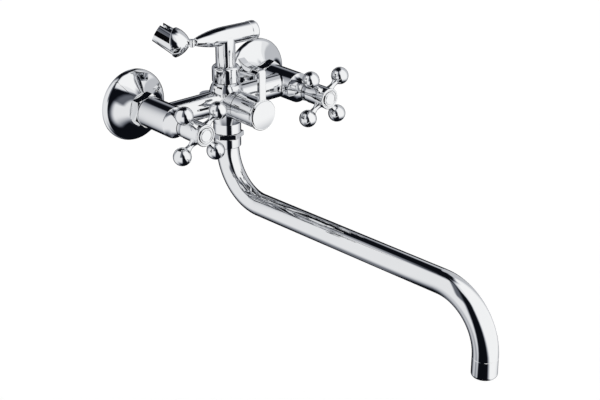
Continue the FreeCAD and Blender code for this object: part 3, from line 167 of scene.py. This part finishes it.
def dress(material, *nodes):
    """Give CAD pieces a finish and smooth their round faces"""
    for name in nodes:
        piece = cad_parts[name]
        piece.data.materials.clear()
        piece.data.materials.append(material)
        select_only(piece)
        bpy.ops.object.shade_smooth_by_angle(angle=CAD_EDGE_ANGLE)


def middle(node):
    low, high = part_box(node)
    return [(first + last) / 2 for first, last in zip(low, high)]


THREAD_PITCH = 0.001814
THREAD_DEPTH = 0.0006
NICKEL_LIGHT = (0.74, 0.73, 0.70)
NICKEL_DULL = (0.66, 0.65, 0.62)


def threaded_finish(name, axis_point, along, low, high):
    """Plated finish whose thread winds round an axis between two places along it"""
    material, shader, place = new_finish(name, metallic=1.0)
    sides = split(place.out(place.vector("SUBTRACT", place, axis_point)))
    run = sides.pop(along)
    turns = run * (1 / THREAD_PITCH) + run.math("ARCTAN2", *sides) * (1 / math.tau)
    winding = run.math("PINGPONG", turns, 0.5)
    inside = ramp(run, low, low + THREAD_PITCH) * (1.0 - ramp(run, high - THREAD_PITCH, high))
    dulled = noise(place, scale=70.0, detail=3.0)
    connect(shader, Base_Color=blend_colours(dulled, NICKEL_LIGHT, NICKEL_DULL),
            Roughness=0.16 + dulled * 0.12, Normal=relief(winding * inside * THREAD_DEPTH))
    return material


for side in ("left", "right"):
    connector = f"wall_connector_{side}"
    x, y, z = middle(connector)
    thread_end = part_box(connector)[1][1]
    dress(threaded_finish(f"connector_plate_{side}", (x, 0.0, z), 1, 0.0, thread_end), connector)

NIPPLE_THREAD = 0.011
x, y, z = middle("hose_nipple")
nipple_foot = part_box("hose_nipple")[0][2]
dress(threaded_finish("nipple_plate", (x, y, nipple_foot), 2, 0.0, NIPPLE_THREAD), "hose_nipple")

# Union gaskets and seals.
# Rings of moulded black rubber, matt with a faint bloom.
# They are squeezed between two seats or sit in turned grooves.

RUBBER_BLACK = (0.016, 0.016, 0.017)
RUBBER_BLOOM = (0.045, 0.045, 0.045)
rubber, rubber_shader, place = new_finish("seal_rubber", metallic=0.0)
bloom = noise(place, scale=160.0, detail=3.0)
connect(rubber_shader, Base_Color=blend_colours(bloom, RUBBER_BLACK, RUBBER_BLOOM),
        Roughness=0.55 + bloom * 0.2, Normal=relief(noise(place, scale=1400.0), 0.3, 0.00004))
dress(rubber, "union_gasket_left", "union_gasket_right", "seat_ring_left", "seat_ring_right",
      "headwork_seal_left", "headwork_seal_right", "diverter_seal", "spout_seal_upper", "spout_seal_lower",
      "aerator_gasket", "holder_seal")

# Wall rosettes.
# Spun brass cups with a rolled rim, a rounded crown and a hollow cone that ends behind the nut.
# Chromed over nickel: a mirror, with the faint waves that buffing leaves and a trace of handling on it.

CHROME_LIGHT = (0.797, 0.805, 0.816)
CHROME_DEEP = (0.717, 0.73, 0.752)
GRAIN_HEIGHT = 0.0000004


def chrome_finish(name, wave_size, wave_height, softness):
    """Mirror finish whose waves have a size, in waves per metre, and a height"""
    material, shader, place = new_finish(name, metallic=1.0)
    cloud = noise(place, scale=14.0, detail=3.0)
    smear = ramp(noise(place, scale=55.0, detail=4.0, rough=0.6), 0.52, 0.78)
    waves = noise(place, scale=wave_size, detail=1.0) * wave_height
    grain = noise(place, scale=900.0, detail=1.0) * GRAIN_HEIGHT
    connect(shader, Base_Color=blend_colours(cloud, CHROME_LIGHT, CHROME_DEEP),
            Roughness=softness + cloud * 0.008 + smear * 0.02, Normal=relief(waves + grain))
    return material


tube_chrome = chrome_finish("tube_chrome", wave_size=22.0, wave_height=0.00002, softness=0.014)
dress(tube_chrome, "wall_rosette_left", "wall_rosette_right")

# Union nuts and body.
# Forged nuts, and one cast body with its cross tube, barrels and hub, all of brass.
# Ground and buffed by hand, then chromed, with rather more waves in the mirror than a tube has.

cast_chrome = chrome_finish("cast_chrome", wave_size=40.0, wave_height=0.00003, softness=0.018)
dress(cast_chrome, "union_nut_left", "union_nut_right", "mixer_body")

# Headworks.
# Cartridges of turned brass that screw into the barrels, hidden under the bonnets.
# Each turns one lapped ceramic disc on another.

BRASS_BRIGHT = (0.80, 0.62, 0.30)
BRASS_TARNISHED = (0.58, 0.42, 0.19)
brass, brass_shader, place = new_finish("machined_brass", metallic=1.0)
tarnish = ramp(noise(place, scale=60.0, detail=4.0, rough=0.6), 0.42, 0.75)
turning = place.out(place.node("ShaderNodeTexWave", {"bands_direction": "Y"}, Vector=place, Scale=900.0,
                               Distortion=0.4))
connect(brass_shader, Base_Color=blend_colours(tarnish, BRASS_BRIGHT, BRASS_TARNISHED),
        Roughness=0.26 + tarnish * 0.16, Normal=relief(turning, 0.15, 0.00004))
dress(brass, "headwork_housing_left", "headwork_housing_right", "headwork_stem_left", "headwork_stem_right",
      "diverter_housing", "diverter_stem")

CERAMIC_LIGHT = (0.93, 0.92, 0.88)
CERAMIC_SPECK = (0.86, 0.85, 0.82)
ceramic, ceramic_shader, place = new_finish("lapped_ceramic", metallic=0.0, coat=0.3)
speck = noise(place, scale=500.0)
connect(ceramic_shader, Base_Color=blend_colours(speck, CERAMIC_LIGHT, CERAMIC_SPECK),
        Roughness=0.16 + speck * 0.1)
dress(ceramic, "fixed_disc_left", "fixed_disc_right", "turning_disc_left", "turning_disc_right",
      "diverter_fixed_disc", "diverter_turning_disc")

# Bonnets and cross handles.
# Turned covers, and handles cast in one piece with four waisted arms that end in balls.
# Chromed brass. A screw under the cap holds each handle on its stem.

dress(cast_chrome, "bonnet_left", "bonnet_right", "cross_handle_left", "cross_handle_right")

# Index caps and hub beads.
# A pressed cap with a turned groove and a raised middle sits inside a rounded bead on the hub's front edge.
# Chromed brass. Each is a disc or ring from a circle, inset and drawn out, and copied to the other handle.

ROUND_STEPS = 96
BEVEL_ANGLE = math.radians(30)
SMOOTH_ANGLE = math.radians(40)


def start_piece(piece_name):
    """Name the new primitive, put its place in its mesh and enter edit mode with all of it selected"""
    piece = bpy.context.active_object
    piece.name = piece_name
    bpy.ops.object.transform_apply(location=True, rotation=True, scale=True)
    bpy.ops.object.mode_set(mode="EDIT")
    bpy.ops.mesh.select_all(action="SELECT")
    return piece


def finish_piece(piece, material, edge, steps):
    """Turn the normals outwards, round the edges, shade the flats flat and give the finish"""
    bpy.ops.mesh.select_all(action="SELECT")
    bpy.ops.mesh.normals_make_consistent(inside=False)
    bpy.ops.object.mode_set(mode="OBJECT")
    rounding = piece.modifiers.new("rounding", "BEVEL")
    rounding.width = edge
    rounding.segments = steps
    rounding.limit_method = "ANGLE"
    rounding.angle_limit = BEVEL_ANGLE
    bpy.ops.object.modifier_apply(modifier="rounding")
    bpy.ops.object.shade_smooth_by_angle(angle=SMOOTH_ANGLE)
    flats = piece.modifiers.new("flats", "WEIGHTED_NORMAL")
    flats.keep_sharp = True
    bpy.ops.object.modifier_apply(modifier="flats")
    piece.data.materials.append(material)


def new_circle(steps, radius, back, turned_by, fill_type="NOTHING"):
    for other in bpy.context.selected_objects:
        other.select_set(False)
    bpy.ops.mesh.primitive_circle_add(vertices=steps, radius=radius, fill_type=fill_type, location=back,
                                      rotation=turned_by)


def ring(piece_name, steps, inner, outer, back, turned_by, length):
    """A flat ring from a circle's edges, drawn out along its axis and left in edit mode"""
    new_circle(steps, inner, back, turned_by)
    piece = start_piece(piece_name)
    bpy.ops.mesh.extrude_edges_move()
    wider = outer / inner
    bpy.ops.transform.resize(value=(wider, wider, wider), center_override=back)
    bpy.ops.mesh.select_all(action="SELECT")
    bpy.ops.mesh.extrude_region_move(TRANSFORM_OT_translate={"value": length})
    return piece


def copy_across(piece, piece_name, distance):
    """The same piece with its own mesh, moved to the right"""
    twin = piece.copy()
    twin.data = piece.data.copy()
    twin.name = piece_name
    bpy.context.scene.collection.objects.link(twin)
    select_only(twin)
    bpy.ops.transform.translate(value=(distance, 0, 0))
    bpy.ops.object.transform_apply(location=True)
    return twin


CAP_FRONT = -0.1144
CAP_RADIUS = 0.0070
CAP_DEPTH = 0.0062
CAP_RIM = 0.0009
CAP_SLOPE = 0.0003
CAP_GROOVE_DEPTH = 0.0004
CAP_EDGE = 0.00022
CAP_EDGE_STEPS = 3
BEAD_INNER = 0.0081
BEAD_OUTER = 0.01035
BEAD_BACK = -0.1115
BEAD_DEPTH = 0.0021
BEAD_EDGE = 0.0009
BEAD_EDGE_STEPS = 6
FACING_USER = (math.radians(90), 0, 0)
left_x = middle("index_cap_left")[0]
right_x = middle("index_cap_right")[0]

new_circle(ROUND_STEPS, CAP_RADIUS, (left_x, CAP_FRONT + CAP_DEPTH, 0), FACING_USER, fill_type="NGON")
cap_left = start_piece("pressed_cap_left")
bpy.ops.mesh.extrude_region_move(TRANSFORM_OT_translate={"value": (0, CAP_GROOVE_DEPTH / 2 - CAP_DEPTH, 0)})
bpy.ops.mesh.inset(thickness=CAP_RIM, depth=0)
bpy.ops.mesh.inset(thickness=CAP_SLOPE, depth=0)
bpy.ops.transform.translate(value=(0, CAP_GROOVE_DEPTH, 0))
bpy.ops.mesh.inset(thickness=CAP_SLOPE, depth=0)
bpy.ops.mesh.inset(thickness=CAP_SLOPE, depth=0)
bpy.ops.transform.translate(value=(0, -1.5 * CAP_GROOVE_DEPTH, 0))
finish_piece(cap_left, tube_chrome, CAP_EDGE, CAP_EDGE_STEPS)

bead_left = ring("hub_bead_left", ROUND_STEPS, BEAD_INNER, BEAD_OUTER, (left_x, BEAD_BACK, 0), FACING_USER,
                 (0, -BEAD_DEPTH, 0))
finish_piece(bead_left, cast_chrome, BEAD_EDGE, BEAD_EDGE_STEPS)

cap_right = copy_across(cap_left, "pressed_cap_right", right_x - left_x)
bead_right = copy_across(bead_left, "hub_bead_right", right_x - left_x)

for side, cap, bead in (("left", cap_left, bead_left), ("right", cap_right, bead_right)):
    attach(cap, f"handle_{side}")
    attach(bead, f"handle_{side}")
    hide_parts(f"index_cap_{side}")
dress(tube_chrome, "index_cap_left", "index_cap_right")

# Screws.
# Small socket-head screws of plain steel, turned and rolled.
# They sit under the three caps, and one is the pivot of the holder's cup.

STEEL_BRIGHT = (0.62, 0.62, 0.63)
STEEL_WORN = (0.48, 0.48, 0.5)
steel, steel_shader, place = new_finish("screw_steel", metallic=1.0)
wear = noise(place, scale=240.0, detail=3.0)
connect(steel_shader, Base_Color=blend_colours(wear, STEEL_BRIGHT, STEEL_WORN),
        Roughness=0.24 + wear * 0.16)
dress(steel, "handle_screw_left", "handle_screw_right", "diverter_screw", "cup_pivot_screw")

# Diverter.
# A turned knob with a flat cap, and a strap hook that stands up from its rim.
# Chromed brass, held on the diverter's stem by a screw under the cap.

dress(cast_chrome, "diverter_knob", "diverter_lever")
dress(tube_chrome, "diverter_cap")

# Spout.
# Drawn brass tube, bent in one plane and chromed, with a screwed aerator housing on its end.
# A plain brass bush inside the end carries the aerator's thread.

dress(tube_chrome, "spout_tube", "aerator_housing")
dress(brass, "spout_outlet_bush")

# Spout nut.
# A low hexagon over a plain skirt, turned so that a flat faces left of the user as in the photograph.
# Chromed brass. Two rings drawn from a hexagon and a circle, with rounded edges, meet as one nut.

HEX_CORNER = 0.016166
HEX_HOLE_CORNER = 0.01445
HEX_HEIGHT = 0.0048
HEX_TURN = math.radians(53)
HEX_EDGE = 0.0005
HEX_EDGE_STEPS = 2
SKIRT_RADIUS = 0.0133
SKIRT_HOLE = 0.0113
SKIRT_EDGE = 0.0007
SKIRT_EDGE_STEPS = 4

x, y, z = middle("spout_nut")
low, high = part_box("spout_nut")
skirt_top = high[2] - HEX_HEIGHT
hexagon = ring("turned_nut", 6, HEX_HOLE_CORNER, HEX_CORNER, (x, y, high[2]), (0, 0, HEX_TURN),
               (0, 0, -HEX_HEIGHT))
finish_piece(hexagon, cast_chrome, HEX_EDGE, HEX_EDGE_STEPS)
skirt = ring("nut_skirt", ROUND_STEPS, SKIRT_HOLE, SKIRT_RADIUS, (x, y, skirt_top), (0, 0, 0),
             (0, 0, low[2] - skirt_top))
finish_piece(skirt, cast_chrome, SKIRT_EDGE, SKIRT_EDGE_STEPS)
for piece in (hexagon, skirt):
    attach(piece, "base")
    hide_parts("spout_nut")
dress(cast_chrome, "spout_nut")

# Plastic pieces.
# Bushes, split ring, friction washer, aerator insert and check valve.
# Moulded in off-white plastic, with a fine grain.

PLASTIC_LIGHT = (0.86, 0.86, 0.84)
PLASTIC_SHADE = (0.78, 0.78, 0.76)
plastic, plastic_shader, place = new_finish("moulded_plastic", metallic=0.0)
mottle = noise(place, scale=300.0)
connect(plastic_shader, Base_Color=blend_colours(mottle, PLASTIC_LIGHT, PLASTIC_SHADE),
        Roughness=0.36 + mottle * 0.12, Normal=relief(mottle, 0.2, 0.00003))
dress(plastic, "spout_inlet_bush", "spout_split_ring", "aerator_insert", "hose_check_valve",
      "cup_friction_washer")

# Hand-shower holder.
# A collar nut holds the post, which turns; its bullet-shaped arm carries a slotted, tapered cup on a pivot.
# Cast and turned brass, buffed and chromed.

dress(cast_chrome, "holder_collar", "holder_arm", "arm_end_cap", "holder_cup")

# Floor.
# A plain pale surface well below the part, which shows white to the camera and keeps the soft shadow.
# It is matt and doesn't show in mirrors.

FLOOR_PLACE = (0, -0.2, -0.42)
FLOOR_SIZE = 8.0
FLOOR_GREY = 0.96
FLOOR_GLOW = 0.16
bpy.ops.mesh.primitive_plane_add(size=FLOOR_SIZE, location=FLOOR_PLACE)
floor = bpy.context.active_object
floor.name = "studio_floor"
floor_finish, floor_shader, place = new_finish("floor_finish", metallic=0.0)
floor_shader.inputs["Base Color"].default_value = (FLOOR_GREY, FLOOR_GREY, FLOOR_GREY, 1)
floor_shader.inputs["Roughness"].default_value = 0.9
floor_shader.inputs["Emission Color"].default_value = (1, 1, 1, 1)
floor_shader.inputs["Emission Strength"].default_value = FLOOR_GLOW
floor_shader.inputs["Specular IOR Level"].default_value = 0.0
floor.data.materials.append(floor_finish)
floor.visible_glossy = False
floor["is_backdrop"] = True

# Studio.
# A sphere round the part that only mirrors see, like a photographer's light tent with black and grey cards.
# Its glow is worked out from the direction seen from its centre; the darker it is, the bluer.

DOME_CENTRE = (0.148, 0.172, 0.067)
DOME_RADIUS = 0.719
ROOM = 0.40
BLACK = 0.006
# turn from the front to the right, low and high; height over the horizon, low and high; blur; level
CARDS = (
    (-123.1, 111.0, -120.0, 120.0, 15.0, 0.99),
    (-21.7, 37.0, -120.0, 92.3, 2.1, 1.15),
    (-220.0, 220.0, 62.5, 120.0, 6.6, BLACK),
    (-127.6, 2.1, 52.7, 120.0, 10.7, BLACK),
    (83.3, 187.8, 33.5, 77.0, 8.0, BLACK),
    (-187.8, -143.5, 20.4, 120.0, 6.1, BLACK),
    (-220.0, 220.0, -120.0, -55.8, 15.0, 0.20),
    (-70.4, 159.4, -120.0, -36.1, 14.9, BLACK),
    (-53.1, -32.2, -1.8, 65.6, 3.6, 0.16),
    (51.4, 109.8, -40.6, 58.9, 3.9, 0.64),
    (-169.8, -139.0, -46.8, 38.4, 6.2, 0.33),
)
# the tall black card by the camera: where its edges are, their blur, and from where to where each leans
TALL_LEFT = -40.1
TALL_LEFT_BLUR = 3.9
TALL_LEFT_LEAN = (40.6, 61.0, 26.6)
TALL_RIGHT = -23.0
TALL_RIGHT_BLUR = 2.0
TALL_RIGHT_LEAN = (0.0, 39.0, 14.9)
TALL_FOOT_LEAN = (0.0, -51.2, 22.2)
# the dark behind the part: its middle, and how far from it the dark ends
BEHIND = (0.508, 0.636, -0.582)
BEHIND_EDGE = (48.0, 60.0)
TINT_POWERS = {"Red": 1.05, "Green": 1.016, "Blue": 0.935}


def keep_from_light(piece):
    """Only mirrors see this piece, and it lights and shades nothing"""
    piece.visible_camera = False
    piece.visible_diffuse = False
    piece.visible_transmission = False
    piece.visible_volume_scatter = False
    piece.visible_shadow = False
    piece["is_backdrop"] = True


def between(value, low, high, blur):
    return ramp(value, low - blur, low + blur) * (1.0 - ramp(value, high - blur, high + blur))


def cover(room, share, level):
    return room + (level - room) * share


def lean(height, start, stop, reach):
    return ramp(height, start, stop) * reach


bpy.ops.mesh.primitive_uv_sphere_add(segments=ROUND_STEPS, ring_count=48, radius=DOME_RADIUS,
                                     location=DOME_CENTRE)
dome = bpy.context.active_object
dome.name = "studio_dome"
dome_finish, dome_shader, place = new_finish("dome_finish", metallic=0.0)
direction = place.out(place.vector("NORMALIZE", place))
across, inward, upward = split(direction)
turn = across.math("ARCTAN2", across, 0.0 - inward) * math.degrees(1)
height = upward.math("ARCSINE", upward) * math.degrees(1)
from_behind = direction.out(direction.vector("DOT_PRODUCT", direction, BEHIND), "Value")
off_axis = from_behind.math("ARCCOSINE", from_behind) * math.degrees(1)

room = ROOM
for left, right, bottom, top, blur, level in CARDS:
    room = cover(room, between(turn, left, right, blur) * between(height, bottom, top, blur), level)
left = TALL_LEFT - lean(height, *TALL_LEFT_LEAN)
right = TALL_RIGHT - lean(height, *TALL_RIGHT_LEAN) + lean(height, *TALL_FOOT_LEAN)
tall_card = ramp(turn, left - TALL_LEFT_BLUR, left + TALL_LEFT_BLUR)
tall_card = tall_card * (1.0 - ramp(turn, right - TALL_RIGHT_BLUR, right + TALL_RIGHT_BLUR))
room = cover(room, tall_card, BLACK)
room = cover(room, 1.0 - ramp(off_axis, *BEHIND_EDGE), BLACK)
powers = {channel: room.math("POWER", room, power) for channel, power in TINT_POWERS.items()}
tinted = room.out(room.node("ShaderNodeCombineColor", **powers))
glow = room.node("ShaderNodeEmission", Color=tinted, Strength=1.0)
tree = dome_finish.node_tree
tree.nodes.remove(dome_shader)
tree.links.new(glow.outputs["Emission"], tree.nodes["Material Output"].inputs["Surface"])
dome_finish.cycles.emission_sampling = "NONE"
dome.data.materials.append(dome_finish)
keep_from_light(dome)

# Flag.
# A black card that only mirrors see, so that the cup's sleeve stands out dark.
# It stands a hand's breadth to the left of the cup and a little above it.

FLAG_CENTRE = (-0.118, -0.046, 0.097)
FLAG_SIZE = 0.085
FLAG_LEAN = math.radians(66)
FLAG_TURN = math.radians(15.5)
FLAG_BLACK = (0.004, 0.004, 0.005, 1)
bpy.ops.mesh.primitive_plane_add(size=FLAG_SIZE, location=FLAG_CENTRE, rotation=(0, FLAG_LEAN, FLAG_TURN))
flag = bpy.context.active_object
flag.name = "black_flag"
flag_finish, flag_shader, place = new_finish("flag_finish", metallic=0.0)
flag_shader.inputs["Base Color"].default_value = FLAG_BLACK
flag_shader.inputs["Roughness"].default_value = 1.0
flag_shader.inputs["Specular IOR Level"].default_value = 0.0
flag.data.materials.append(flag_finish)
keep_from_light(flag)

# World.
# An even white light from all round, at just under full strength.
# The camera, mirrors and glass see it as pure white.

WORLD_LIGHT = 0.9
world = bpy.data.worlds.new("studio")
bpy.context.scene.world = world
world.use_nodes = True
tree = world.node_tree
light_path = tree.nodes.new("ShaderNodeLightPath")
camera_ray = Wave(tree, light_path.outputs["Is Camera Ray"])
seen = (camera_ray + Wave(tree, light_path.outputs["Is Transmission Ray"])
        + Wave(tree, light_path.outputs["Is Glossy Ray"]))
strength = WORLD_LIGHT + seen * (1 - WORLD_LIGHT)
background = tree.nodes["Background"]
background.inputs["Color"].default_value = (1, 1, 1, 1)
tree.links.new(strength.socket, background.inputs["Strength"])

# Camera.
# At the photograph's viewing angle and distance, from a fit on the inlets, rosettes and balls.

CAMERA_AZIMUTH = -41.47
CAMERA_ELEVATION = 23.61
CAMERA_PLACE = (-0.75314, -1.00932, 0.42742)
CAMERA_LENS = 80.57
CAMERA_SHIFT = -0.0023
camera_data = bpy.data.cameras.new("photo_view")
camera_data.sensor_width = 36.0
camera_data.lens = CAMERA_LENS
camera_data.shift_x = CAMERA_SHIFT
camera_data.clip_end = 20.0
camera = bpy.data.objects.new("photo_view", camera_data)
camera.location = CAMERA_PLACE
camera.rotation_euler = (math.radians(90 - CAMERA_ELEVATION), 0, math.radians(CAMERA_AZIMUTH))
bpy.context.scene.collection.objects.link(camera)
bpy.context.scene.camera = camera
bpy.context.scene.view_settings.view_transform = "Standard"

# Sizes.
# The box of the dressed part is worked out.

low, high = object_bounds()
